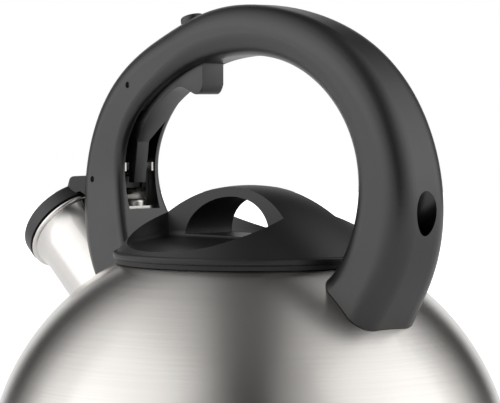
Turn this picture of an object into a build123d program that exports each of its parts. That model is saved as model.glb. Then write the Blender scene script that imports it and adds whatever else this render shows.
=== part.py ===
from build123d import *
import os
from math import asin, atan2, cos, degrees, hypot, radians, sin, sqrt

# Stovetop whistling kettle, in millimetres.
# +Z is up and the origin lies on the body axis at the underside of the base.
# The spout points towards -X, and the handle arches over the lid in the XZ plane.

# Body and base
body_radius = 104.0
girth_height = 42.0
shoulder_radius = 97.3
flank_radius = 55.0
floor_corner = 7.0
body_wall = 1.0
seam_height = 15.0
mouth_radius = 51.5
neck_depth = 9.0
heat_disc_radius = 81.0
heat_disc_thickness = 4.0
base_cap_wall = 0.8
base_cap_corner = 1.5

# Spout
spout_angle = 40.0
spout_reach = body_radius + 9.0
lip_height = 136.8
spout_radius = 18.2
spout_wall = 1.0
lip_radius = 21.0
lip_bead = 1.2
flare_length = 9.0
strainer_margin = 2.0

# Lid
lid_gap = 1.9
lid_radius = 54.0
lid_flange = 2.75
lid_crown = 28.55
lid_dome_radius = 66.0
flange_round = 0.9
scoop_radius = 33.5
scoop_centre = 19.0
scoop_floor = 8.75
scoop_tilt = 5.3
scoop_draft = 10.0
scoop_round = 3.0
grip_wall_middle = 10.5
grip_wall_end = 20.0
tunnel_half_width = 25.0
tunnel_height = 15.5
lid_plate_wall = 0.8
lid_collar_depth = 8.0
seal_thickness = 1.0
seal_flange_radius = 53.3
seal_height = 5.0
lid_screw_offset = 38.0
lid_screw_radius = 1.5
lid_screw_length = 10.0
lid_screw_head_radius = 3.2
lid_screw_head = 2.0

# Handle
handle_front = 8.2 - body_radius
handle_rear = body_radius - 8.8
handle_top = 228.5
handle_shoulder = 157.0
crown_x = 4.0
crown_depth = 19.6
front_depth = 27.2
rear_depth = 24.0
leg_width = 23.5
grip_rounding = 9.0
front_foot_radius = body_radius - 44.0
rear_foot_radius = body_radius - 35.0
foot_burial = 8.0
foot_clearance = 0.2
nub_x = handle_front + 61.3
nub_radius = 5.0
nub_height = 2.6

# Channel along the inside of the front leg
channel_half_width = 8.0
slot_half_width = 6.2
slot_end_x = handle_front + 74.3
leg_channel_x = handle_front + 37.8
channel_wall = 3.5
channel_floor = 146.8
window_bottom = 149.8
window_top = 168.5

# Handle fixings
screw_radius = 2.5
screw_head_radius = 4.4
screw_head = 2.6
screw_clearance = 0.3
thread_gap = 0.05
boss_radius = 6.0
boss_height = 10.0
boss_clearance = 0.3
rear_bore_depth = 8.0
front_bore_depth = 4.0
rear_web = 5.7
access_radius = 5.1
front_screw_x = handle_front + 22.8
front_boss_top = 133.5
bracket_sheet = 1.0
bracket_front_x = handle_front + 26.8
bracket_back_x = handle_front + 4.8
cheek_front_x = handle_front + 22.8
cheek_back_x = handle_front + 7.8
cheek_height = 19.0
ear_front_x = handle_front + 26.3
ear_height = 3.5

# Trigger, cover lever and their pins
trigger_pivot = (handle_front + 33.4, 197.8)
cover_pivot = (handle_front + 9.9, 158.7)
pin_radius = 1.25
pin_fit = 0.05
pin_recess = 1.4
drive_radius = 13.0
drive_angle = 8.0
drive_pin_radius = 1.5
cover_travel = 36.0
fork_clearance = 0.6
side_clearance = 0.3
fork_wall = 3.0
fork_overlap = 1.0
trigger_half_width = 5.5
tail_half_width = 3.0
trigger_tip_x = handle_front + 73.5
trigger_underside = [(trigger_tip_x, 198.0), (trigger_tip_x - 3.5, 194.0),
                     (trigger_tip_x - 12.7, 196.9), (trigger_tip_x - 21.7, 194.3),
                     (trigger_tip_x - 32.2, 187.0), (trigger_tip_x - 44.2, 175.0)]
trigger_back = [(trigger_tip_x - 44.7, 200.0), (trigger_tip_x - 27.7, 206.0),
                (trigger_tip_x, 209.0)]
taper_top = 183.0
taper_bottom = 174.0
tongue_front_x = handle_front + 26.8
tongue_back_x = handle_front + 23.3
tongue_bottom = 157.5
hub_radius = 4.6
arm_half_width = 6.4
arm_flare = 9.5
cheek_inner = 3.6
cheek_outer = 6.2
cheek_rounding = 3.2
arm_top = 160.4
arm_drop = 1.0
arm_end_x = 9.0 - spout_reach
arm_corner = 3.0
arm_bottom = 151.8
arm_heel_x = 15.8 - spout_reach
block_front_x = handle_front + 19.1
block_top = 163.5
block_bottom = 155.1
spring_pocket = 4.8
spring_radius = 2.1
spring_wire = 0.45
spring_turns = 4.25
spring_pitch = 1.1
spring_leg = 11.2
spring_clearance = 0.3

# Spout cover and whistle
cover_gap = 0.3
cover_radius = 21.25
cover_height = 7.2
cover_crown = 0.8
cover_edge = 1.5
cover_seal_thickness = 1.5
cover_seal_inner = 16.5
cover_seal_outer = 20.2
whistle_radius = 18.3
whistle_fit = 0.1
whistle_sheet = 0.6
whistle_spacing = 2.5
spacer_inner = 16.5
whistle_hole = 1.8
vent_radius = 4.0

base_top = base_cap_wall + heat_disc_thickness
shoulder_centre = body_radius - shoulder_radius
flank_centre = body_radius - flank_radius
neck_radius = mouth_radius + body_wall


def shoulder_height(radius, outset=0.0):
    """Height of the shoulder, moved out by the outset, at a distance from the body axis."""
    return girth_height + sqrt((shoulder_radius + outset) ** 2 - (radius - shoulder_centre) ** 2)


def hull(outset):
    """Solid of revolution inside the body's outer face, moved out by the outset."""
    floor = base_top - outset
    floor_edge = flank_centre + sqrt((flank_radius + outset) ** 2 - (girth_height - floor) ** 2)
    mouth = (neck_radius, shoulder_height(neck_radius, outset))
    girth = (body_radius + outset, girth_height)
    with BuildPart() as solid:
        with BuildSketch(Plane.XZ) as section:
            with BuildLine():
                Polyline(mouth, (0, mouth[1]), (0, floor), (floor_edge, floor))
                TangentArc(girth, (floor_edge, floor), tangent=(0, -1))
                TangentArc(girth, mouth, tangent=(0, 1))
            make_face()
            corner = section.vertices().group_by(Axis.Y)[0].sort_by(Axis.X)[-1]
            fillet(corner, floor_corner + outset)
        revolve(axis=Axis.Z)
    return solid.part


rim_height = shoulder_height(neck_radius)
spout_direction = Vector(-cos(radians(spout_angle)), 0, sin(radians(spout_angle)))
spout_across = Vector(sin(radians(spout_angle)), 0, cos(radians(spout_angle)))
lip_centre = Vector(-spout_reach, 0, lip_height)
spout_length = spout_reach - mouth_radius / 2
spout_axis = Axis(lip_centre, spout_direction)
spout_section = Plane(origin=lip_centre, x_dir=spout_across, z_dir=(0, -1, 0))
spout_root = Plane(origin=lip_centre - spout_direction * spout_length, x_dir=(0, 1, 0),
                   z_dir=spout_direction)
lip_plane = Plane(origin=lip_centre, x_dir=(0, 1, 0), z_dir=spout_direction)


def spout_cylinder(radius):
    """Solid round bar along the spout from inside the body to the lip."""
    with BuildPart() as bar:
        with BuildSketch(spout_root):
            Circle(radius)
        extrude(amount=spout_length)
    return bar.part


body_solid = hull(0)
body_inside = hull(-body_wall)
body_clear = hull(foot_clearance)
spout_solid = spout_cylinder(spout_radius)
spout_clear = spout_cylinder(spout_radius + foot_clearance)
spout_opening = spout_cylinder(spout_radius - spout_wall - strainer_margin)

# Upper body: shoulder, side and the collar of the filling mouth
with BuildPart() as body_shell:
    add(body_solid)
    add(body_inside, mode=Mode.SUBTRACT)
    with BuildSketch(Plane.XY.offset(rim_height)):
        Circle(neck_radius)
    extrude(amount=-neck_depth)
    with BuildSketch(Plane.XY.offset(rim_height)):
        Circle(mouth_radius)
    extrude(amount=-2 * neck_depth, mode=Mode.SUBTRACT)
    add(spout_opening, mode=Mode.SUBTRACT)
    split(bisect_by=Plane.XY.offset(seam_height), keep=Keep.TOP)
body_shell.part.label = "body_shell"

# Lower pan, welded to the upper body along the seam
with BuildPart() as base_pan:
    add(body_solid)
    add(body_inside, mode=Mode.SUBTRACT)
    split(bisect_by=Plane.XY.offset(seam_height), keep=Keep.BOTTOM)
base_pan.part.label = "base_pan"

# Heat-spreading disc and the steel cap pressed over it
with BuildPart() as heat_disc:
    with BuildSketch(Plane.XY.offset(base_cap_wall)):
        Circle(heat_disc_radius)
    extrude(amount=heat_disc_thickness)
heat_disc.part.label = "heat_disc"

with BuildPart() as base_cap:
    with BuildSketch():
        Circle(heat_disc_radius + base_cap_wall)
    extrude(amount=base_top)
    fillet(base_cap.edges().group_by(Axis.Z)[0], base_cap_corner)
    with BuildSketch(Plane.XY.offset(base_cap_wall)):
        Circle(heat_disc_radius)
    extrude(amount=heat_disc_thickness, mode=Mode.SUBTRACT)
base_cap.part.label = "base_cap"

# Spout: straight tube, flared end and rolled lip
lip_inner = lip_radius - lip_bead
with BuildPart() as spout_tube:
    with BuildSketch(spout_section):
        with BuildLine():
            root_outer = (spout_radius, -spout_length)
            root_inner = (spout_radius - spout_wall, -spout_length)
            flare_outer = (spout_radius, -flare_length)
            flare_inner = (spout_radius - spout_wall, -flare_length)
            Polyline(flare_inner, root_inner, root_outer, flare_outer)
            TangentArc(flare_outer, (lip_inner + spout_wall / 2, -lip_bead), tangent=(0, 1))
            TangentArc(flare_inner, (lip_inner - spout_wall / 2, -lip_bead), tangent=(0, 1))
            Line((lip_inner - spout_wall / 2, -lip_bead), (lip_inner + spout_wall / 2, -lip_bead))
        make_face()
        with Locations((lip_inner, -lip_bead)):
            Circle(lip_bead)
    revolve(axis=spout_axis)
    add(body_solid, mode=Mode.SUBTRACT)
spout_tube.part.label = "spout_tube"

# Welded bosses that carry the handle
rear_angle = degrees(asin((shoulder_height(rear_foot_radius) - girth_height) / shoulder_radius))
rear_normal = Vector(cos(radians(rear_angle)), 0, sin(radians(rear_angle)))
rear_foot = Vector(rear_foot_radius, 0, shoulder_height(rear_foot_radius))
rear_plane = Plane(origin=rear_foot, x_dir=(0, 1, 0), z_dir=rear_normal)

with BuildPart() as rear_boss:
    with BuildSketch(rear_plane.offset(boss_height)):
        Circle(boss_radius)
    extrude(amount=-2 * boss_height)
    add(body_solid, mode=Mode.SUBTRACT)
    with BuildSketch(rear_plane.offset(boss_height)):
        Circle(screw_radius + thread_gap)
    extrude(amount=-rear_bore_depth, mode=Mode.SUBTRACT)
rear_boss.part.label = "rear_boss"

with BuildPart() as front_boss:
    with BuildSketch(Plane.XY.offset(front_boss_top)):
        with Locations((front_screw_x, 0)):
            Circle(boss_radius)
    extrude(amount=-3 * boss_height)
    add(body_solid, mode=Mode.SUBTRACT)
    add(spout_solid, mode=Mode.SUBTRACT)
    with BuildSketch(Plane.XY.offset(front_boss_top)):
        with Locations((front_screw_x, 0)):
            Circle(screw_radius + thread_gap)
    extrude(amount=-front_bore_depth, mode=Mode.SUBTRACT)
front_boss.part.label = "front_boss"

# Centreline of the handle, from the front foot over the crown to the rear foot
crown = (crown_x, handle_top - crown_depth / 2)
front_side = (handle_front + front_depth / 2, handle_shoulder)
rear_side = (handle_rear - rear_depth / 2, handle_shoulder)
rear_end = rear_foot - rear_normal * foot_burial
front_end = (-front_foot_radius, shoulder_height(front_foot_radius) - foot_burial)
crown_rise = crown[1] - handle_shoulder
with BuildLine(Plane.XZ) as handle_line:
    EllipticalCenterArc((crown_x, handle_shoulder), crown_x - front_side[0], crown_rise,
                        start_angle=180, arc_size=-90)
    EllipticalCenterArc((crown_x, handle_shoulder), rear_side[0] - crown_x, crown_rise,
                        start_angle=90, arc_size=-90)
    TangentArc(rear_side, (rear_end.X, rear_end.Z), tangent=(0, -1))
    TangentArc(front_side, front_end, tangent=(0, -1))
handle_path = handle_line.wires()[0]

# Share of the way along the handle, section depth and width, its shift outwards, and the
# rounding of its inner corners
handle_stations = [
    (0.00, 24.3, 35.0, 2.3, 3.5),
    (0.05, 29.9, 33.0, 0.1, 3.5),
    (0.10, 29.7, 27.5, -0.2, 3.5),
    (0.155, 27.7, leg_width, 0.3, 3.5),
    (0.225, 23.6, leg_width, 1.15, 3.5),
    (0.29, 21.4, leg_width, 1.1, 4.0),
    (0.40, 19.2, 24.0, 0.3, 6.5),
    (0.50, 20.0, 25.0, 0.45, 8.5),
    (0.60, 20.0, 26.0, 0.4, 9.5),
    (0.72, 23.2, 27.0, 0.7, 10.0),
    (0.84, 27.3, 28.0, 0.6, 10.0),
    (0.92, 28.8, 30.0, 0.2, 10.0),
    (1.00, 33.4, 34.0, -0.9, 10.0),
]

channel_rise = handle_top - channel_wall - handle_shoulder
channel_reach = crown_x - handle_front - channel_wall
channel_back_x = handle_front + channel_wall


def channel_solid(end_x, half_width):
    """Solid that fills the channel from the handle's front wall to a place along X."""
    with BuildPart() as channel:
        with BuildSketch(Plane.XZ):
            with BuildLine():
                EllipticalCenterArc((crown_x, handle_shoulder), channel_reach, channel_rise,
                                    start_angle=90, arc_size=90)
                Polyline((channel_back_x, handle_shoulder), (channel_back_x, channel_floor),
                         (crown_x, channel_floor), (crown_x, handle_shoulder + channel_rise))
            make_face()
            with Locations(((channel_back_x + end_x) / 2, handle_top - body_radius)):
                Rectangle(end_x - channel_back_x, 2 * body_radius, mode=Mode.INTERSECT)
        extrude(amount=half_width, both=True)
    return channel.part


leg_channel = channel_solid(leg_channel_x, channel_half_width)
trigger_slot = channel_solid(slot_end_x, slot_half_width)

nub_height_at = handle_shoulder + (handle_top - handle_shoulder) * sqrt(
    1 - ((nub_x - crown_x) / (crown_x - handle_front)) ** 2)
nub_slope = Vector((nub_x - crown_x) / (crown_x - handle_front) ** 2, 0,
                   (nub_height_at - handle_shoulder) / (handle_top - handle_shoulder) ** 2)
nub_plane = Plane(origin=(nub_x, 0, nub_height_at), x_dir=(0, 1, 0), z_dir=nub_slope)
rear_seat = boss_height + boss_clearance + rear_web

with BuildPart() as handle:
    for share, depth, width, shift, hand_rounding in handle_stations:
        with BuildSketch(Plane(origin=handle_path @ share, x_dir=(0, 1, 0),
                               z_dir=handle_path % share)) as section:
            with Locations((0, shift)):
                Rectangle(width, depth)
            fillet(section.vertices().group_by(Axis.Y)[0], hand_rounding)
            fillet(section.vertices().group_by(Axis.Y)[-1], grip_rounding)
    loft()
    with BuildSketch(nub_plane.offset(-nub_radius)):
        Circle(nub_radius)
    extrude(amount=nub_radius + nub_height)
    fillet(handle.edges().filter_by(GeomType.CIRCLE).sort_by(Axis.Z)[-1], nub_height / 2)
    add(body_clear, mode=Mode.SUBTRACT)
    add(spout_clear, mode=Mode.SUBTRACT)
    # Channel, trigger slot and the window for the cover lever
    add(leg_channel, mode=Mode.SUBTRACT)
    add(trigger_slot, mode=Mode.SUBTRACT)
    with BuildSketch(Plane.YZ.offset(channel_back_x + channel_wall)):
        with Locations((0, (window_top + window_bottom) / 2)):
            Rectangle(2 * channel_half_width, window_top - window_bottom)
    extrude(amount=-4 * channel_wall, mode=Mode.SUBTRACT)
    # Pivot pin holes
    with BuildSketch(Plane.XZ):
        with Locations(trigger_pivot, cover_pivot):
            Circle(pin_radius + pin_fit)
    extrude(amount=rear_depth, both=True, mode=Mode.SUBTRACT)
    # Rear fixing: pocket for the boss, screw hole and access bore
    with BuildSketch(rear_plane.offset(-boss_height)):
        Circle(boss_radius + boss_clearance)
    extrude(amount=2 * boss_height + boss_clearance, mode=Mode.SUBTRACT)
    with BuildSketch(rear_plane):
        Circle(screw_radius + screw_clearance)
    extrude(amount=rear_seat, mode=Mode.SUBTRACT)
    with BuildSketch(rear_plane.offset(rear_seat)):
        Circle(access_radius)
    extrude(amount=3 * rear_depth, mode=Mode.SUBTRACT)
    # Front fixing: pocket for the boss and screw hole
    with BuildSketch(Plane.XY.offset(front_boss_top + boss_clearance)):
        with Locations((front_screw_x, 0)):
            Circle(boss_radius + boss_clearance)
    extrude(amount=-3 * boss_height, mode=Mode.SUBTRACT)
    with BuildSketch(Plane.XY.offset(channel_floor)):
        with Locations((front_screw_x, 0)):
            Circle(screw_radius + screw_clearance)
    extrude(amount=front_boss_top - channel_floor, mode=Mode.SUBTRACT)
handle.part.label = "handle"

# U-shaped steel bracket on the channel floor, whose cheeks hold the cover's pivot pin
bracket_half_width = channel_half_width - side_clearance
cheek_top = channel_floor + cheek_height
coil_length = spring_turns * spring_pitch
with BuildPart() as front_bracket:
    with BuildSketch(Plane.XY.offset(channel_floor)):
        with Locations(((bracket_back_x + bracket_front_x) / 2, 0)):
            Rectangle(bracket_front_x - bracket_back_x, 2 * bracket_half_width)
        with Locations((front_screw_x, 0)):
            Circle(screw_radius + screw_clearance, mode=Mode.SUBTRACT)
        with Locations((cover_pivot[0] - spring_radius, -coil_length / 2)):
            Circle(spring_wire + spring_clearance, mode=Mode.SUBTRACT)
    extrude(amount=bracket_sheet)
    for side in (-1, 1):
        with BuildSketch(Plane.XZ.offset(side * bracket_half_width)):
            with BuildLine():
                Polyline((cheek_back_x, channel_floor), (cheek_front_x, channel_floor),
                         (cheek_front_x, cheek_top - ear_height),
                         (ear_front_x, cheek_top - ear_height), (ear_front_x, cheek_top),
                         (cheek_back_x, cheek_top), close=True)
            make_face()
            with Locations(cover_pivot):
                Circle(pin_radius + pin_fit, mode=Mode.SUBTRACT)
        extrude(amount=-side * bracket_sheet)
front_bracket.part.label = "front_bracket"

with BuildPart() as front_screw:
    with BuildSketch(Plane.XY.offset(channel_floor + bracket_sheet)):
        with Locations((front_screw_x, 0)):
            Circle(screw_head_radius)
    extrude(amount=screw_head)
    fillet(front_screw.edges().group_by(Axis.Z)[-1], screw_head / 3)
    with BuildSketch(Plane.XY.offset(channel_floor + bracket_sheet)):
        with Locations((front_screw_x, 0)):
            Circle(screw_radius)
    extrude(amount=front_boss_top - front_bore_depth + screw_clearance - channel_floor
            - bracket_sheet)
front_screw.part.label = "front_screw"

with BuildPart() as rear_screw:
    with BuildSketch(rear_plane.offset(rear_seat)):
        Circle(screw_head_radius)
    extrude(amount=screw_head)
    fillet(rear_screw.edges().sort_by(Axis.Z)[-1], screw_head / 3)
    with BuildSketch(rear_plane.offset(rear_seat)):
        Circle(screw_radius)
    extrude(amount=boss_height - rear_bore_depth + screw_clearance - rear_seat)
rear_screw.part.label = "rear_screw"

# Linkage: the trigger's fork drives a pin on the cover lever
link_x = trigger_pivot[0] - cover_pivot[0]
link_z = trigger_pivot[1] - cover_pivot[1]
link_length = hypot(link_x, link_z)
link_angle = degrees(atan2(link_z, link_x))
drive_place = (cover_pivot[0] + drive_radius * cos(radians(link_angle + drive_angle)),
               cover_pivot[1] + drive_radius * sin(radians(link_angle + drive_angle)))
fork_angle = degrees(atan2(drive_place[1] - trigger_pivot[1], drive_place[0] - trigger_pivot[0]))
fork_plane = Plane(origin=(trigger_pivot[0], 0, trigger_pivot[1]),
                   x_dir=(cos(radians(fork_angle)), 0, sin(radians(fork_angle))),
                   z_dir=(0, -1, 0))
cheek_plane = Plane(origin=(cover_pivot[0], 0, cover_pivot[1]),
                    x_dir=(drive_place[0] - cover_pivot[0], 0, drive_place[1] - cover_pivot[1]),
                    z_dir=(0, -1, 0))
fork_reach = fork_overlap + hypot(
    link_length - drive_radius * cos(radians(cover_travel - drive_angle)),
    drive_radius * sin(radians(cover_travel - drive_angle)))
fork_start = link_length - drive_radius - drive_pin_radius - fork_clearance
fork_half_slot = drive_pin_radius + fork_clearance

# Trigger: finger pad, tongue in front of the lever, and the fork arm behind it
with BuildPart() as trigger:
    with BuildSketch(Plane.XZ):
        with BuildLine():
            pad = Spline(*trigger_underside)
            Polyline(pad @ 1, (tongue_front_x, tongue_bottom), (tongue_back_x, tongue_bottom),
                     (tongue_back_x, (pad @ 1).Y), *trigger_back, pad @ 0)
        make_face()
    extrude(amount=trigger_half_width, both=True)
    with BuildSketch(fork_plane):
        Rectangle(fork_reach, 2 * (fork_half_slot + fork_wall), align=(Align.MIN, Align.CENTER))
        with Locations((fork_start, 0)):
            Rectangle(fork_reach, 2 * fork_half_slot, align=(Align.MIN, Align.CENTER),
                      mode=Mode.SUBTRACT)
    extrude(amount=trigger_half_width, both=True)
    with BuildSketch(Plane.YZ):
        Polygon((-trigger_half_width, handle_top), (-trigger_half_width, taper_top),
                (-tail_half_width, taper_bottom), (-tail_half_width, handle_shoulder),
                (tail_half_width, handle_shoulder), (tail_half_width, taper_bottom),
                (trigger_half_width, taper_top), (trigger_half_width, handle_top), align=None)
    extrude(amount=body_radius, both=True, mode=Mode.INTERSECT)
    with BuildSketch(Plane.XZ):
        with Locations(trigger_pivot):
            Circle(pin_radius + pin_fit)
    extrude(amount=trigger_half_width, both=True, mode=Mode.SUBTRACT)
trigger.part.label = "trigger"


def cross_pin(place, radius, half_length):
    """Round pin across the handle."""
    with BuildPart() as pin:
        with BuildSketch(Plane.XZ):
            with Locations(place):
                Circle(radius)
        extrude(amount=half_length, both=True)
    return pin.part


trigger_pin = cross_pin(trigger_pivot, pin_radius, leg_width / 2 - pin_recess)
trigger_pin.label = "trigger_pin"
cover_pin = cross_pin(cover_pivot, pin_radius, leg_width / 2 - pin_recess)
cover_pin.label = "cover_pin"
drive_pin = cross_pin(drive_place, drive_pin_radius, cheek_outer)
drive_pin.label = "drive_pin"

# Spout cover with its lever arm, in one moulding
seal_top = cover_gap + cover_seal_thickness
whistle_top = seal_top + 2 * whistle_sheet + whistle_spacing
cover_top = cover_gap + cover_height


def beside_lip(across, along):
    """Side-view point measured from the lip's centre, across and along the spout."""
    place = lip_centre + spout_across * across + spout_direction * along
    return (place.X, place.Z)


with BuildPart() as spout_cover:
    # Lever arm, wider towards the cover
    with BuildSketch(Plane.XZ):
        with BuildLine():
            FilletPolyline((cover_pivot[0], arm_top), (arm_end_x, arm_top - arm_drop),
                           beside_lip(lip_inner - lip_bead, cover_top - lip_bead),
                           radius=arm_corner)
            Polyline(beside_lip(lip_inner - lip_bead, cover_top - lip_bead),
                     beside_lip(lip_inner - lip_bead, seal_top),
                     beside_lip(cover_radius, cover_gap), (arm_heel_x, arm_bottom),
                     (cover_pivot[0], arm_bottom), (cover_pivot[0], arm_top))
        make_face()
    extrude(amount=arm_flare, both=True)
    with BuildSketch(Plane.XY.offset(handle_shoulder)):
        Polygon((handle_rear, -arm_half_width), (handle_front, -arm_half_width),
                (arm_end_x, -arm_flare), (-2 * spout_reach, -arm_flare),
                (-2 * spout_reach, arm_flare), (arm_end_x, arm_flare),
                (handle_front, arm_half_width), (handle_rear, arm_half_width), align=None)
    extrude(amount=front_depth, both=True, mode=Mode.INTERSECT)
    # Cap over the lip, with its seats for the seal and the whistle
    with BuildSketch(spout_section) as cap_section:
        with BuildLine():
            Polyline((0, cover_top), (0, cover_gap), (cover_radius, cover_gap),
                     (cover_radius, cover_top - cover_crown))
            TangentArc((0, cover_top), (cover_radius, cover_top - cover_crown), tangent=(1, 0))
        make_face()
        fillet(cap_section.vertices().sort_by(Axis.X)[-2:].sort_by(Axis.Y)[-1], cover_edge)
    revolve(axis=spout_axis)
    with BuildSketch(lip_plane.offset(cover_gap)):
        Circle(cover_seal_outer + whistle_fit)
    extrude(amount=cover_seal_thickness, mode=Mode.SUBTRACT)
    with BuildSketch(lip_plane.offset(seal_top)):
        Circle(whistle_radius + whistle_fit)
    extrude(amount=whistle_top - seal_top, mode=Mode.SUBTRACT)
    with BuildSketch(lip_plane.offset(whistle_top)):
        Circle(vent_radius)
    extrude(amount=cover_height, mode=Mode.SUBTRACT)
    # Hub and the block that the spring bears on
    with BuildSketch(Plane.XZ):
        with Locations(cover_pivot):
            Circle(hub_radius)
    extrude(amount=arm_half_width, both=True)
    with BuildSketch(Plane.XZ):
        with Locations(((cover_pivot[0] + block_front_x) / 2, (block_top + block_bottom) / 2)):
            Rectangle(block_front_x - cover_pivot[0], block_top - block_bottom)
    extrude(amount=cheek_outer, both=True)
    # Upper cheeks that hold the drive pin
    with BuildSketch(cheek_plane):
        with Locations((drive_radius / 2, 0)):
            SlotCenterToCenter(drive_radius, 2 * cheek_rounding)
    extrude(amount=cheek_outer, both=True)
    # Pocket for the spring, open underneath, with a hole for its leg in the block
    with BuildSketch(Plane.XZ):
        with Locations(cover_pivot):
            Circle(spring_pocket)
            Rectangle(2 * spring_pocket, 2 * spring_pocket, align=(Align.CENTER, Align.MAX))
    extrude(amount=cheek_inner, both=True, mode=Mode.SUBTRACT)
    with BuildSketch(Plane.YZ.offset(cover_pivot[0])):
        with Locations((coil_length / 2, cover_pivot[1] + spring_radius)):
            Circle(spring_wire + spring_clearance)
    extrude(amount=spring_leg + spring_clearance, mode=Mode.SUBTRACT)
    with BuildSketch(cheek_plane):
        with Locations((hub_radius + drive_radius, 0)):
            Rectangle(2 * drive_radius, 2 * drive_radius)
    extrude(amount=cheek_inner, both=True, mode=Mode.SUBTRACT)
    with BuildSketch(Plane.XZ):
        with Locations(cover_pivot):
            Circle(pin_radius + pin_fit)
        with Locations(drive_place):
            Circle(drive_pin_radius + pin_fit)
    extrude(amount=arm_half_width, both=True, mode=Mode.SUBTRACT)
spout_cover.part.label = "spout_cover"


def cover_disc(label, start, thickness, outer, inner):
    """Flat ring around the spout's axis, inside the cover."""
    with BuildPart() as disc:
        with BuildSketch(lip_plane.offset(start)):
            Circle(outer)
            Circle(inner, mode=Mode.SUBTRACT)
        extrude(amount=thickness)
    disc.part.label = label
    return disc.part


spacer_start = seal_top + whistle_sheet
cover_seal = cover_disc("cover_seal", cover_gap, cover_seal_thickness, cover_seal_outer,
                        cover_seal_inner)
whistle_back = cover_disc("whistle_back_plate", seal_top, whistle_sheet, whistle_radius,
                          whistle_hole)
whistle_spacer = cover_disc("whistle_spacer", spacer_start, whistle_spacing, whistle_radius,
                            spacer_inner)
whistle_front = cover_disc("whistle_front_plate", spacer_start + whistle_spacing, whistle_sheet,
                           whistle_radius, whistle_hole)

# Torsion spring around the cover pin, with one leg in the bracket and one in the lever
spring_foot = cover_pivot[1] - channel_floor - pin_fit
with BuildPart() as spring_coil:
    with BuildLine():
        coil = Helix(spring_pitch, coil_length, spring_radius)
    with BuildSketch(Plane(origin=coil @ 0, z_dir=coil % 0)):
        Circle(spring_wire)
    sweep(is_frenet=True)
    with BuildSketch(Plane(origin=coil @ 0, z_dir=(0, -1, 0))):
        Circle(spring_wire)
    extrude(amount=spring_foot)
    with BuildSketch(Plane(origin=coil @ 1, z_dir=(-1, 0, 0))):
        Circle(spring_wire)
    extrude(amount=spring_leg)
spring_place = Plane(origin=(cover_pivot[0], -coil_length / 2, cover_pivot[1]),
                     x_dir=(-1, 0, 0), z_dir=(0, 1, 0))
cover_spring = spring_place.location * spring_coil.part
cover_spring.label = "cover_spring"

# Lid: one moulding with two finger scoops and an arched grip between them
lid_seat = rim_height + lid_gap
lid_dome_centre = lid_seat + lid_crown - lid_dome_radius
lid_dome_edge = sqrt(lid_dome_radius ** 2 - (lid_seat + lid_flange - lid_dome_centre) ** 2)


def finger_scoop(side):
    """Solid that hollows the lid beside the grip: a tilted floor, a steep wall and a round foot."""
    tilt = radians(scoop_tilt)
    floor = Plane(origin=(0, 0, lid_seat + scoop_floor), x_dir=(1, 0, 0),
                  z_dir=(0, side * sin(tilt), cos(tilt)))
    with BuildPart() as scoop:
        with BuildSketch(floor):
            with Locations((0, side * scoop_centre)):
                Circle(scoop_radius)
            with BuildLine():
                bound = ThreePointArc((-lid_radius, side * grip_wall_end),
                                      (0, side * grip_wall_middle),
                                      (lid_radius, side * grip_wall_end))
                Polyline(bound @ 1, (lid_radius, side * 2 * lid_radius),
                         (-lid_radius, side * 2 * lid_radius), bound @ 0)
            make_face(mode=Mode.INTERSECT)
        extrude(amount=lid_crown, taper=-scoop_draft)
        base = scoop.faces().sort_by(Axis(floor.origin, floor.z_dir))[0]
        fillet(base.edges(), scoop_round)
    return scoop.part


near_scoop = finger_scoop(-1)
far_scoop = finger_scoop(1)

with BuildPart() as lid_cover:
    with BuildSketch(Plane.XZ) as lid_section:
        with BuildLine():
            Polyline((0, lid_seat + lid_crown), (0, lid_seat), (lid_radius, lid_seat),
                     (lid_radius, lid_seat + lid_flange), (lid_dome_edge, lid_seat + lid_flange))
            RadiusArc((lid_dome_edge, lid_seat + lid_flange), (0, lid_seat + lid_crown),
                      -lid_dome_radius)
        make_face()
        fillet(lid_section.vertices().group_by(Axis.X)[-1], flange_round)
    revolve(axis=Axis.Z)
    add(near_scoop, mode=Mode.SUBTRACT)
    add(far_scoop, mode=Mode.SUBTRACT)
    with BuildSketch(Plane.XZ):
        with Locations((0, lid_seat + scoop_floor)):
            Ellipse(tunnel_half_width, tunnel_height)
            Rectangle(lid_radius, tunnel_height, align=(Align.CENTER, Align.MAX),
                      mode=Mode.SUBTRACT)
    extrude(amount=grip_wall_end, both=True, mode=Mode.SUBTRACT)
    with BuildSketch(Plane.XY.offset(lid_seat)):
        with Locations((-lid_screw_offset, 0), (lid_screw_offset, 0)):
            Circle(lid_screw_radius + thread_gap)
    extrude(amount=lid_screw_length + lid_screw_radius, mode=Mode.SUBTRACT)
lid_cover.part.label = "lid_cover"

# Steel under-lid with its collar, the silicone ring around it and the two screws
collar_radius = mouth_radius - seal_thickness - side_clearance - thread_gap
with BuildPart() as lid_plate:
    with BuildSketch(Plane.XY.offset(lid_seat)):
        Circle(collar_radius)
    extrude(amount=-lid_plate_wall - lid_collar_depth)
    fillet(lid_plate.edges().group_by(Axis.Z)[-1], lid_plate_wall / 2)
    with BuildSketch(Plane.XY.offset(lid_seat - lid_plate_wall)):
        Circle(collar_radius - lid_plate_wall)
    extrude(amount=-lid_collar_depth, mode=Mode.SUBTRACT)
    with BuildSketch(Plane.XY.offset(lid_seat)):
        with Locations((-lid_screw_offset, 0), (lid_screw_offset, 0)):
            Circle(lid_screw_radius + screw_clearance)
    extrude(amount=-lid_plate_wall, mode=Mode.SUBTRACT)
lid_plate.part.label = "lid_plate"

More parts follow.
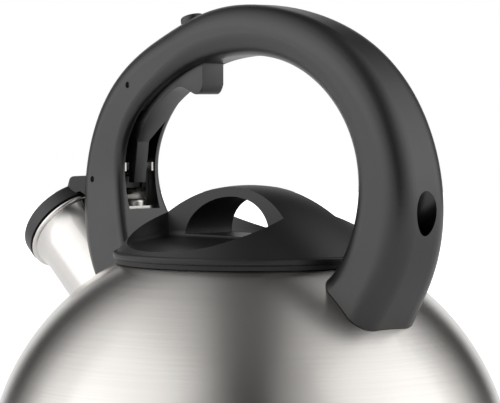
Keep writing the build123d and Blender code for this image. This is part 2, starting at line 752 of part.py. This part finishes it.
with BuildPart() as lid_seal:
    with BuildSketch(Plane.XY.offset(lid_seat - lid_plate_wall)):
        Circle(collar_radius + thread_gap + seal_thickness)
    extrude(amount=-seal_height)
    # Flange that fills the gap over the body's rim
    with BuildSketch(Plane.XY.offset(lid_seat)):
        Circle(seal_flange_radius)
    extrude(amount=foot_clearance - lid_gap)
    with BuildSketch(Plane.XY.offset(lid_seat)):
        Circle(collar_radius + thread_gap)
    extrude(amount=-lid_plate_wall - seal_height, mode=Mode.SUBTRACT)
lid_seal.part.label = "lid_seal"

with BuildPart() as lid_screws:
    with BuildSketch(Plane.XY.offset(lid_seat - lid_plate_wall)):
        with Locations((-lid_screw_offset, 0), (lid_screw_offset, 0)):
            Circle(lid_screw_head_radius)
    extrude(amount=-lid_screw_head)
    fillet(lid_screws.edges().group_by(Axis.Z)[0], lid_screw_head / 3)
    with BuildSketch(Plane.XY.offset(lid_seat - lid_plate_wall)):
        with Locations((-lid_screw_offset, 0), (lid_screw_offset, 0)):
            Circle(lid_screw_radius)
    extrude(amount=lid_screw_length)
lid_screws.part.label = "lid_screws"

os.makedirs("parts", exist_ok=True)
pieces = [
    body_shell.part, base_pan.part, heat_disc.part, base_cap.part, spout_tube.part,
    rear_boss.part, front_boss.part, handle.part, front_bracket.part, front_screw.part,
    rear_screw.part, trigger.part, trigger_pin, cover_pin, drive_pin, spout_cover.part,
    cover_seal, whistle_back, whistle_spacer, whistle_front, cover_spring,
    lid_cover.part, lid_plate.part, lid_seal.part, lid_screws.part,
]
for piece in pieces:
    export_step(piece, f"parts/{piece.label}.step")
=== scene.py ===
"""Stovetop whistling kettle: materials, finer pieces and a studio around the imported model."""
import math

import bpy
from bpy.props import FloatProperty, FloatVectorProperty, PointerProperty
from bpy.types import Operator, Panel, PropertyGroup
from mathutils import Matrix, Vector


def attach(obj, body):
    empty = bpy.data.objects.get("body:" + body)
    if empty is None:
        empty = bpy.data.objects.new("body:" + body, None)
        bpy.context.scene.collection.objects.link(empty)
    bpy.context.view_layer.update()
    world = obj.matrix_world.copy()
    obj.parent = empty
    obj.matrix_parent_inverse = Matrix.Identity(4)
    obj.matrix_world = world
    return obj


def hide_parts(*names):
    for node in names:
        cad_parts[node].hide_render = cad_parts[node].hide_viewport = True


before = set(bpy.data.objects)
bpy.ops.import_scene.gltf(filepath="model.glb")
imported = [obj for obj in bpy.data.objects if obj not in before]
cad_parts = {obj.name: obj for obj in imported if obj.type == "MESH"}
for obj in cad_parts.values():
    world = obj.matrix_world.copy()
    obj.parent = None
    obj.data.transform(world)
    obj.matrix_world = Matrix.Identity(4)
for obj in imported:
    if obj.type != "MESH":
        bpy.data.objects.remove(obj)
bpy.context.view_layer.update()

bl_info = {
    "name": "Whistling kettle",
    "version": (1, 0, 0),
    "blender": (4, 5, 0),
    "location": "3D View > Sidebar > Kettle",
    "description": "Dresses a stovetop whistling kettle and sets a studio around it",
    "category": "Object",
}

MM = 0.001
STROKE_RADIUS = 60 * MM
SPOUT_TILT = math.radians(40)
SPOUT_LIP = (-0.113, 0, 0.1368)

# Rounding of a copied piece: points closer than the first are one, flatter corners are dropped
MERGE_DISTANCE = 0.002 * MM
FLAT_ANGLE = math.radians(1.5)
SHARP_ANGLE = math.radians(40)
ROUNDING_STEPS = 4
TRIGGER_ROUNDING = 0.9 * MM

# Brightness of the room: across it from the middle to a side wall, along it from back to
# front, of the paper behind, and from the floor to straight above
ACROSS_STOPS = ((0.0, 0.01), (0.07, 0.02), (0.15, 0.06), (0.29, 0.26), (0.56, 0.56),
                (0.79, 0.74), (0.93, 0.95), (1.0, 1.0))
ALONG_STOPS = ((0.0, 0.05), (0.12, 0.05), (0.2, 0.35), (0.32, 0.95), (0.5, 1.0), (1.0, 1.0))
BEHIND_STOPS = ((0.0, 0.6), (0.03, 0.55), (0.08, 0.0), (1.0, 0.0))
ABOVE_STOPS = ((0.0, 0.0), (0.5, 0.0), (1.0, 0.08))
ROOM_STRENGTH = 1.6
WHITE = (1, 1, 1, 1)

# Paper floor: its own glow grows outwards, and metal sees a share of it
FLOOR_RADIUS = 4
FLOOR_SIDES = 96
FIBRE_SPACING = 80 * MM
GLOW_START = 0.15
GLOW_END = 1.2
GLOW_NEAR = 0.6
METAL_SHARE = 0.4

# Two equal softboxes, turned from the camera by these degrees
SOFTBOX_TURNS = {"left_softbox": -65, "right_softbox": 75}
SOFTBOX_RISE = 30
SOFTBOX_DISTANCE = 1.5
SOFTBOX_WIDTH = 1.6
SOFTBOX_HEIGHT = 1.4
SOFTBOX_POWER = 2.5


def hex_linear(code):
    """Turn an sRGB hex colour into linear red, green, blue and alpha."""
    channels = [int(code[i:i + 2], 16) / 255 for i in (1, 3, 5)]
    linear = [c / 12.92 if c <= 0.04045 else ((c + 0.055) / 1.055) ** 2.4 for c in channels]
    return (*linear, 1.0)


class KettleSizes(PropertyGroup):
    """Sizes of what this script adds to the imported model."""

    camera_azimuth: FloatProperty(
        name="Camera azimuth", description="Direction the camera stands in, from the front view",
        default=math.radians(48.6), subtype="ANGLE", unit="ROTATION")
    camera_distance: FloatProperty(
        name="Camera distance", description="Level distance from the body's axis to the camera",
        default=1.0, unit="LENGTH")
    camera_height: FloatProperty(
        name="Camera height", description="Height of the camera over the base",
        default=0.1945, unit="LENGTH")
    aim_height: FloatProperty(
        name="Aim height", description="Height on the body's axis that the camera looks at",
        default=0.1518, unit="LENGTH")
    camera_lens: FloatProperty(
        name="Lens", description="Focal length in millimetres on a 36 mm sensor", default=182.9)


class KettleFinish(PropertyGroup):
    """Colours and surface values of the kettle's materials."""

    body_colour: FloatVectorProperty(
        name="Body steel", description="Colour of the satin steel body", subtype="COLOR",
        size=4, min=0, max=1, default=hex_linear("#cfccc8"))
    spout_colour: FloatVectorProperty(
        name="Spout steel", description="Colour of the polished steel spout", subtype="COLOR",
        size=4, min=0, max=1, default=hex_linear("#dcd9d6"))
    fixing_colour: FloatVectorProperty(
        name="Fixing steel", description="Colour of screws, pins and sheet parts",
        subtype="COLOR", size=4, min=0, max=1, default=hex_linear("#c4c2be"))
    plastic_colour: FloatVectorProperty(
        name="Black moulding", description="Colour of the handle, lid and cover",
        subtype="COLOR", size=4, min=0, max=1, default=hex_linear("#0e0d0e"))
    brushing: FloatProperty(
        name="Brushing", description="How far highlights spread across the brush lines",
        default=0.8, min=0, max=1, subtype="FACTOR")


def add_node(tree, kind, inputs=None, **settings):
    """Add a shader node, apply its settings, and link or set its inputs."""
    node = tree.nodes.new(kind)
    for name, value in settings.items():
        if hasattr(node, name):
            setattr(node, name, value)
        else:
            node.inputs[name.replace("_", " ")].default_value = value
    for name, source in (inputs or {}).items():
        if isinstance(source, bpy.types.NodeSocket):
            tree.links.new(source, node.inputs[name])
        else:
            node.inputs[name].default_value = source
    return node


def new_material(name):
    """Start a material with an output and a principled shader, and return it with both."""
    material = bpy.data.materials.new(name)
    material.use_nodes = True
    tree = material.node_tree
    tree.nodes.clear()
    shader = tree.nodes.new("ShaderNodeBsdfPrincipled")
    output = tree.nodes.new("ShaderNodeOutputMaterial")
    tree.links.new(shader.outputs["BSDF"], output.inputs["Surface"])
    return material, tree, shader


def shades(tree, source, dark, light, low=0.3, high=0.7):
    """Spread a pattern between two colours."""
    ramp = add_node(tree, "ShaderNodeValToRGB", {"Fac": source})
    ramp.color_ramp.elements[0].position = low
    ramp.color_ramp.elements[1].position = high
    ramp.color_ramp.elements[0].color = dark
    ramp.color_ramp.elements[1].color = light
    return ramp.outputs["Color"]


def tinted(colour, factor):
    """A colour made darker or lighter by a factor."""
    return (*[min(1.0, c * factor) for c in colour[:3]], 1.0)


def brushed_steel(name, colour, roughness, line_spacing, line_length, brushing, axis=(0, 0, 1),
                  foot=(0, 0, 0), depth=0.05):
    """Stainless sheet brushed around an axis: fine rings that spread highlights across them."""
    material, tree, shader = new_material(name)
    place = add_node(tree, "ShaderNodeTexCoord").outputs["Object"]
    local = add_node(tree, "ShaderNodeVectorMath", {0: place, 1: foot},
                     operation="SUBTRACT").outputs["Vector"]
    along = add_node(tree, "ShaderNodeVectorMath", {0: local, 1: axis}, operation="DOT_PRODUCT")
    on_axis = add_node(tree, "ShaderNodeVectorMath", {0: axis, "Scale": along.outputs["Value"]},
                       operation="SCALE").outputs["Vector"]
    off_axis = add_node(tree, "ShaderNodeVectorMath", {0: local, 1: on_axis},
                        operation="SUBTRACT").outputs["Vector"]
    radius = add_node(tree, "ShaderNodeVectorMath", {0: off_axis}, operation="LENGTH")
    around = add_node(tree, "ShaderNodeVectorMath", {0: off_axis}, operation="NORMALIZE")
    # one turn passes the noise slowly, so that a line is as long as a real brush stroke
    slow = add_node(tree, "ShaderNodeVectorMath", {0: around.outputs["Vector"]},
                    operation="SCALE", Scale=STROKE_RADIUS / line_length)
    rise = add_node(tree, "ShaderNodeVectorMath", {0: on_axis}, operation="SCALE",
                    Scale=1 / line_spacing)
    lines_at = add_node(tree, "ShaderNodeVectorMath", {
        0: slow.outputs["Vector"], 1: rise.outputs["Vector"]}, operation="ADD")
    spread = add_node(tree, "ShaderNodeMath", {0: radius.outputs["Value"], 1: 1 / line_spacing},
                      operation="MULTIPLY")
    lines = add_node(tree, "ShaderNodeTexNoise", {
        "Vector": lines_at.outputs["Vector"], "W": spread.outputs["Value"]},
        noise_dimensions="4D", Scale=1.0, Detail=3.0, Roughness=0.6).outputs["Fac"]
    tree.links.new(shades(tree, lines, tinted(colour, 1 - depth), tinted(colour, 1 + depth)),
                   shader.inputs["Base Color"])
    rough = add_node(tree, "ShaderNodeMapRange", {"Value": lines},
                     To_Min=roughness * (1 - 2 * depth), To_Max=roughness * (1 + 2 * depth))
    tree.links.new(rough.outputs["Result"], shader.inputs["Roughness"])
    bump = add_node(tree, "ShaderNodeBump", {"Height": lines}, Strength=depth,
                    Distance=0.01 * MM)
    tree.links.new(bump.outputs["Normal"], shader.inputs["Normal"])
    shader.inputs["Metallic"].default_value = 1.0
    shader.inputs["Anisotropic"].default_value = brushing
    # highlights spread at right angles to the brush strokes, which run round the axis
    normal = add_node(tree, "ShaderNodeNewGeometry").outputs["Normal"]
    stroke = add_node(tree, "ShaderNodeVectorMath", {0: axis, 1: normal},
                      operation="CROSS_PRODUCT")
    spread_along = add_node(tree, "ShaderNodeVectorMath", {
        0: stroke.outputs["Vector"], 1: normal}, operation="CROSS_PRODUCT")
    tree.links.new(spread_along.outputs["Vector"], shader.inputs["Tangent"])
    return material


def plain_steel(name, colour, roughness, grain):
    """Rolled or turned metal: a fine random grain and slight clouding soften its highlights."""
    material, tree, shader = new_material(name)
    place = add_node(tree, "ShaderNodeTexCoord").outputs["Object"]
    cloud = add_node(tree, "ShaderNodeTexNoise", {"Vector": place}, Scale=1 / (12 * MM),
                     Detail=2.0).outputs["Fac"]
    fine = add_node(tree, "ShaderNodeTexNoise", {"Vector": place}, Scale=1 / grain,
                    Detail=2.0).outputs["Fac"]
    tree.links.new(shades(tree, cloud, tinted(colour, 0.9), tinted(colour, 1.05)),
                   shader.inputs["Base Color"])
    rough = add_node(tree, "ShaderNodeMapRange", {"Value": fine}, To_Min=roughness * 0.75,
                     To_Max=roughness * 1.25)
    tree.links.new(rough.outputs["Result"], shader.inputs["Roughness"])
    bump = add_node(tree, "ShaderNodeBump", {"Height": fine}, Strength=0.1, Distance=0.02 * MM)
    tree.links.new(bump.outputs["Normal"], shader.inputs["Normal"])
    shader.inputs["Metallic"].default_value = 1.0
    return material


def moulded_plastic(name, colour, roughness, sheen_index=1.5, grain=0.5 * MM):
    """Black phenolic moulding: matt from a spark-eroded mould, with a faint fine texture."""
    material, tree, shader = new_material(name)
    place = add_node(tree, "ShaderNodeTexCoord").outputs["Object"]
    cloud = add_node(tree, "ShaderNodeTexNoise", {"Vector": place}, Scale=1 / (25 * MM),
                     Detail=3.0).outputs["Fac"]
    # the real grain is about 0.1 mm, drawn coarser so that it shows
    fine = add_node(tree, "ShaderNodeTexNoise", {"Vector": place}, Scale=1 / grain,
                    Detail=2.0, Roughness=0.7).outputs["Fac"]
    tree.links.new(shades(tree, cloud, tinted(colour, 0.85), tinted(colour, 1.15)),
                   shader.inputs["Base Color"])
    rough = add_node(tree, "ShaderNodeMapRange", {"Value": fine}, To_Min=roughness * 0.88,
                     To_Max=roughness * 1.12)
    tree.links.new(rough.outputs["Result"], shader.inputs["Roughness"])
    bump = add_node(tree, "ShaderNodeBump", {"Height": fine}, Strength=0.12, Distance=0.03 * MM)
    tree.links.new(bump.outputs["Normal"], shader.inputs["Normal"])
    shader.inputs["IOR"].default_value = sheen_index
    return material


def silicone(name, colour):
    """Moulded silicone rubber: soft sheen over a slightly cloudy body."""
    material, tree, shader = new_material(name)
    place = add_node(tree, "ShaderNodeTexCoord").outputs["Object"]
    cloud = add_node(tree, "ShaderNodeTexNoise", {"Vector": place}, Scale=1 / (4 * MM),
                     Detail=2.0).outputs["Fac"]
    tree.links.new(shades(tree, cloud, tinted(colour, 0.85), tinted(colour, 1.1)),
                   shader.inputs["Base Color"])
    shader.inputs["Roughness"].default_value = 0.55
    shader.inputs["IOR"].default_value = 1.41
    return material


def dress(names, material):
    """Give CAD nodes a material."""
    for name in names:
        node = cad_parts[name]
        node.data.materials.clear()
        node.data.materials.append(material)


class KettleOperator:
    """Shared settings of the kettle's operators."""

    bl_options = {"REGISTER", "UNDO"}


class KETTLE_OT_body(KettleOperator, Operator):
    """Dress the steel body, its pan and its base"""

    bl_idname = "kettle.body"
    bl_label = "Body and base"

    def execute(self, context):
        finish = context.scene.kettle_finish
        dress(["body_shell", "base_pan"], brushed_steel(
            "satin_brushed_stainless", finish.body_colour, roughness=0.26,
            line_spacing=0.6 * MM, line_length=40 * MM, brushing=finish.brushing, depth=0.03))
        dress(["base_cap"], brushed_steel(
            "spun_stainless_base", finish.body_colour, roughness=0.36,
            line_spacing=0.6 * MM, line_length=60 * MM, brushing=finish.brushing))
        dress(["heat_disc"], plain_steel("rolled_aluminium", hex_linear("#d2d2d0"),
                                         roughness=0.4, grain=1 * MM))
        return {"FINISHED"}


class KETTLE_OT_spout(KettleOperator, Operator):
    """Dress the spout tube"""

    bl_idname = "kettle.spout"
    bl_label = "Spout"

    def execute(self, context):
        finish = context.scene.kettle_finish
        dress(["spout_tube"], brushed_steel(
            "fine_brushed_stainless_tube", finish.spout_colour, roughness=0.2,
            line_spacing=0.4 * MM, line_length=30 * MM, brushing=finish.brushing,
            axis=(-math.cos(SPOUT_TILT), 0, math.sin(SPOUT_TILT)), foot=SPOUT_LIP, depth=0.03))
        return {"FINISHED"}


def rounded_copy(name, node, width):
    """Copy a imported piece, round its sharp edges and let the copy stand in for it."""
    bpy.ops.object.select_all(action="DESELECT")
    piece = bpy.data.objects.new(name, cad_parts[node].data.copy())
    bpy.context.scene.collection.objects.link(piece)
    bpy.context.view_layer.objects.active = piece
    piece.select_set(True)
    bpy.ops.object.mode_set(mode="EDIT")
    bpy.ops.mesh.select_all(action="SELECT")
    bpy.ops.mesh.remove_doubles(threshold=MERGE_DISTANCE)
    bpy.ops.mesh.dissolve_limited(angle_limit=FLAT_ANGLE)
    bpy.ops.object.mode_set(mode="OBJECT")
    bevel = piece.modifiers.new("rounding", "BEVEL")
    bevel.width = width
    bevel.segments = ROUNDING_STEPS
    bevel.limit_method = "ANGLE"
    bevel.angle_limit = SHARP_ANGLE
    bpy.ops.object.modifier_apply(modifier=bevel.name)
    bpy.ops.object.shade_smooth_by_angle(angle=SHARP_ANGLE)
    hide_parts(node)
    return piece


class KETTLE_OT_handle(KettleOperator, Operator):
    """Dress the handle moulding and round its trigger"""

    bl_idname = "kettle.handle"
    bl_label = "Handle and trigger"

    def execute(self, context):
        finish = context.scene.kettle_finish
        dress(["handle"], moulded_plastic("black_phenolic_handle", finish.plastic_colour,
                                          roughness=0.36, sheen_index=1.62))
        trigger = rounded_copy("rounded_trigger", "trigger", TRIGGER_ROUNDING)
        trigger.data.materials.clear()
        trigger.data.materials.append(moulded_plastic(
            "black_nylon_trigger", finish.plastic_colour, roughness=0.38, sheen_index=1.65))
        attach(trigger, "trigger")
        return {"FINISHED"}


class KETTLE_OT_cover(KettleOperator, Operator):
    """Dress the spout cover and its whistle"""

    bl_idname = "kettle.cover"
    bl_label = "Spout cover"

    def execute(self, context):
        finish = context.scene.kettle_finish
        dress(["spout_cover"], moulded_plastic("black_phenolic_cover", finish.plastic_colour,
                                               roughness=0.4, sheen_index=1.6))
        dress(["cover_seal"], silicone("black_silicone", hex_linear("#2a2a2a")))
        dress(["whistle_back_plate", "whistle_spacer", "whistle_front_plate"],
              plain_steel("pressed_stainless_whistle", finish.fixing_colour, roughness=0.3,
                          grain=0.5 * MM))
        return {"FINISHED"}


class KETTLE_OT_lid(KettleOperator, Operator):
    """Dress the lid, its steel plate and its seal"""

    bl_idname = "kettle.lid"
    bl_label = "Lid"

    def execute(self, context):
        finish = context.scene.kettle_finish
        dress(["lid_cover"], moulded_plastic("black_phenolic_lid", finish.plastic_colour,
                                             roughness=0.45))
        dress(["lid_plate"], brushed_steel(
            "satin_stainless_under_lid", finish.body_colour, roughness=0.32,
            line_spacing=0.5 * MM, line_length=40 * MM, brushing=finish.brushing))
        # The seal ring is drawn near-black, which paints the dark line of shade in the gap under
        # the lid's rim
        dress(["lid_seal"], silicone("seal_ring_painted_gap_shade", hex_linear("#242424")))
        return {"FINISHED"}


class KETTLE_OT_fixings(KettleOperator, Operator):
    """Dress the bracket, spring, bosses, pins and screws"""

    bl_idname = "kettle.fixings"
    bl_label = "Fixings"

    def execute(self, context):
        colour = context.scene.kettle_finish.fixing_colour
        dress(["front_bracket"], plain_steel("bright_sheet_steel", colour, roughness=0.22,
                                             grain=0.4 * MM))
        dress(["cover_spring"], plain_steel("bright_spring_wire", colour, roughness=0.25,
                                            grain=0.4 * MM))
        dress(["rear_boss", "front_boss"], plain_steel("turned_steel_boss", colour,
                                                       roughness=0.35, grain=0.5 * MM))
        dress(["trigger_pin", "cover_pin", "drive_pin", "front_screw", "rear_screw",
               "lid_screws"], plain_steel("zinc_plated_steel", colour, roughness=0.32,
                                          grain=0.5 * MM))
        return {"FINISHED"}


def softbox(name, azimuth, aim):
    """Soft area light that stands around the kettle and faces it."""
    light = bpy.data.lights.new(name, "AREA")
    light.shape = "RECTANGLE"
    light.size = SOFTBOX_WIDTH
    light.size_y = SOFTBOX_HEIGHT
    light.energy = SOFTBOX_POWER
    lamp = bpy.data.objects.new(name, light)
    bpy.context.scene.collection.objects.link(lamp)
    turn, rise = math.radians(azimuth), math.radians(SOFTBOX_RISE)
    away = Vector((math.sin(turn) * math.cos(rise), -math.cos(turn) * math.cos(rise),
                   math.sin(rise)))
    lamp.location = aim + SOFTBOX_DISTANCE * away
    lamp.rotation_euler = (aim - lamp.location).to_track_quat("-Z", "Y").to_euler()


def brightness(tree, source, stops):
    """Turn a value from 0 to 1 into a brightness by straight steps between stops."""
    ramp = add_node(tree, "ShaderNodeValToRGB", {"Fac": source})
    for _ in stops[2:]:
        ramp.color_ramp.elements.new(0.5)
    for element, (place, value) in zip(ramp.color_ramp.elements, stops):
        element.position = place
        element.color = (value, value, value, 1)
    return ramp.outputs["Color"]


def studio_world(toward):
    """Dim room with wide bright walls at both sides of the camera and white paper behind."""
    world = bpy.data.worlds.new("studio_room")
    world.use_nodes = True
    tree = world.node_tree
    tree.nodes.clear()
    direction = add_node(tree, "ShaderNodeTexCoord").outputs["Generated"]
    across = add_node(tree, "ShaderNodeVectorMath", {
        0: direction, 1: (-toward[1], toward[0], 0)}, operation="DOT_PRODUCT")
    side = add_node(tree, "ShaderNodeMath", {0: across.outputs["Value"]}, operation="ABSOLUTE")
    along = add_node(tree, "ShaderNodeVectorMath", {0: direction, 1: toward},
                     operation="DOT_PRODUCT")
    front = add_node(tree, "ShaderNodeMapRange", {"Value": along.outputs["Value"]},
                     From_Min=-1.0, From_Max=1.0).outputs["Result"]
    height = add_node(tree, "ShaderNodeSeparateXYZ", {"Vector": direction}).outputs["Z"]
    walls = add_node(tree, "ShaderNodeMixRGB", {
        1: brightness(tree, side.outputs["Value"], ACROSS_STOPS),
        2: brightness(tree, front, ALONG_STOPS)}, blend_type="MULTIPLY", Fac=1.0)
    ends = add_node(tree, "ShaderNodeMixRGB", {
        1: brightness(tree, front, BEHIND_STOPS),
        2: brightness(tree, height, ABOVE_STOPS)}, blend_type="ADD", Fac=1.0)
    lit = add_node(tree, "ShaderNodeMixRGB", {
        1: walls.outputs["Color"], 2: ends.outputs["Color"]}, blend_type="ADD", Fac=1.0)
    room = add_node(tree, "ShaderNodeBackground", {"Color": lit.outputs["Color"]},
                    Strength=ROOM_STRENGTH)
    white = add_node(tree, "ShaderNodeBackground", Color=WHITE, Strength=1.0)
    ray = add_node(tree, "ShaderNodeLightPath")
    choice = add_node(tree, "ShaderNodeMixShader", {
        "Fac": ray.outputs["Is Camera Ray"], 1: room.outputs["Background"],
        2: white.outputs["Background"]})
    add_node(tree, "ShaderNodeOutputWorld", {"Surface": choice.outputs["Shader"]})
    return world


def paper_floor():
    """White seamless paper: it shows its own white far out and keeps a shadow near the kettle."""
    material, tree, shader = new_material("white_paper_floor")
    place = add_node(tree, "ShaderNodeTexCoord").outputs["Object"]
    fibre = add_node(tree, "ShaderNodeTexNoise", {"Vector": place}, Scale=1 / FIBRE_SPACING)
    tree.links.new(shades(tree, fibre.outputs["Fac"], hex_linear("#f4f4f4"),
                          hex_linear("#f8f8f8")), shader.inputs["Base Color"])
    distance = add_node(tree, "ShaderNodeVectorMath", {0: place}, operation="LENGTH")
    glow = add_node(tree, "ShaderNodeMapRange", {"Value": distance.outputs["Value"]},
                    interpolation_type="SMOOTHSTEP", From_Min=GLOW_START, From_Max=GLOW_END,
                    To_Min=GLOW_NEAR, To_Max=1.0)
    ray = add_node(tree, "ShaderNodeLightPath")
    seen = add_node(tree, "ShaderNodeMath", {
        0: ray.outputs["Is Glossy Ray"], 1: METAL_SHARE, 2: ray.outputs["Is Camera Ray"]},
        operation="MULTIPLY_ADD")
    shown = add_node(tree, "ShaderNodeMath", {
        0: seen.outputs["Value"], 1: ray.outputs["Is Transmission Ray"]}, operation="ADD",
        use_clamp=True)
    strength = add_node(tree, "ShaderNodeMath", {
        0: glow.outputs["Result"], 1: shown.outputs["Value"]}, operation="MULTIPLY")
    tree.links.new(strength.outputs["Value"], shader.inputs["Emission Strength"])
    shader.inputs["Emission Color"].default_value = WHITE
    shader.inputs["Roughness"].default_value = 0.8
    return material


class KETTLE_OT_stage(KettleOperator, Operator):
    """Set the floor, lights, world and camera"""

    bl_idname = "kettle.stage"
    bl_label = "Stage"

    def execute(self, context):
        sizes = context.scene.kettle_sizes
        bpy.ops.object.select_all(action="DESELECT")
        bpy.ops.mesh.primitive_circle_add(vertices=FLOOR_SIDES, radius=FLOOR_RADIUS,
                                          fill_type="NGON")
        floor = context.object
        floor.name = "studio_floor"
        floor.data.materials.append(paper_floor())

        aim = Vector((0, 0, sizes.aim_height))
        azimuth = math.degrees(sizes.camera_azimuth)
        for name, turn in SOFTBOX_TURNS.items():
            softbox(name, azimuth + turn, aim)
        toward = Vector((math.sin(sizes.camera_azimuth), -math.cos(sizes.camera_azimuth), 0))
        context.scene.world = studio_world(toward)

        camera = bpy.data.cameras.new("studio_camera")
        camera.lens = sizes.camera_lens
        camera.sensor_width = 36
        camera.clip_end = 20
        viewer = bpy.data.objects.new("studio_camera", camera)
        context.scene.collection.objects.link(viewer)
        viewer.location = toward * sizes.camera_distance + Vector((0, 0, sizes.camera_height))
        viewer.rotation_euler = (aim - viewer.location).to_track_quat("-Z", "Y").to_euler()
        context.scene.camera = viewer
        context.scene.view_settings.view_transform = "Standard"
        return {"FINISHED"}


OPERATORS = (KETTLE_OT_stage, KETTLE_OT_body, KETTLE_OT_spout, KETTLE_OT_handle,
             KETTLE_OT_cover, KETTLE_OT_lid, KETTLE_OT_fixings)


class KETTLE_PT_panel(Panel):
    """Kettle settings and the pieces that can be made"""

    bl_label = "Whistling kettle"
    bl_idname = "KETTLE_PT_panel"
    bl_space_type = "VIEW_3D"
    bl_region_type = "UI"
    bl_category = "Kettle"

    def draw(self, context):
        for group in (context.scene.kettle_sizes, context.scene.kettle_finish):
            for name in group.__annotations__:
                self.layout.prop(group, name)
        for operator in OPERATORS:
            self.layout.operator(operator.bl_idname)


CLASSES = (KettleSizes, KettleFinish, *OPERATORS, KETTLE_PT_panel)


def register():
    """Register the classes and hang the settings on the scene."""
    for kind in CLASSES:
        bpy.utils.register_class(kind)
    bpy.types.Scene.kettle_sizes = PointerProperty(type=KettleSizes)
    bpy.types.Scene.kettle_finish = PointerProperty(type=KettleFinish)


def unregister():
    """Take the settings off the scene and unregister the classes."""
    del bpy.types.Scene.kettle_finish
    del bpy.types.Scene.kettle_sizes
    for kind in reversed(CLASSES):
        bpy.utils.unregister_class(kind)


def main():
    """Make every piece in order."""
    register()
    for step in ("stage", "body", "spout", "handle", "cover", "lid", "fixings"):
        getattr(bpy.ops.kettle, step)()


if __name__ == "__main__":
    main()
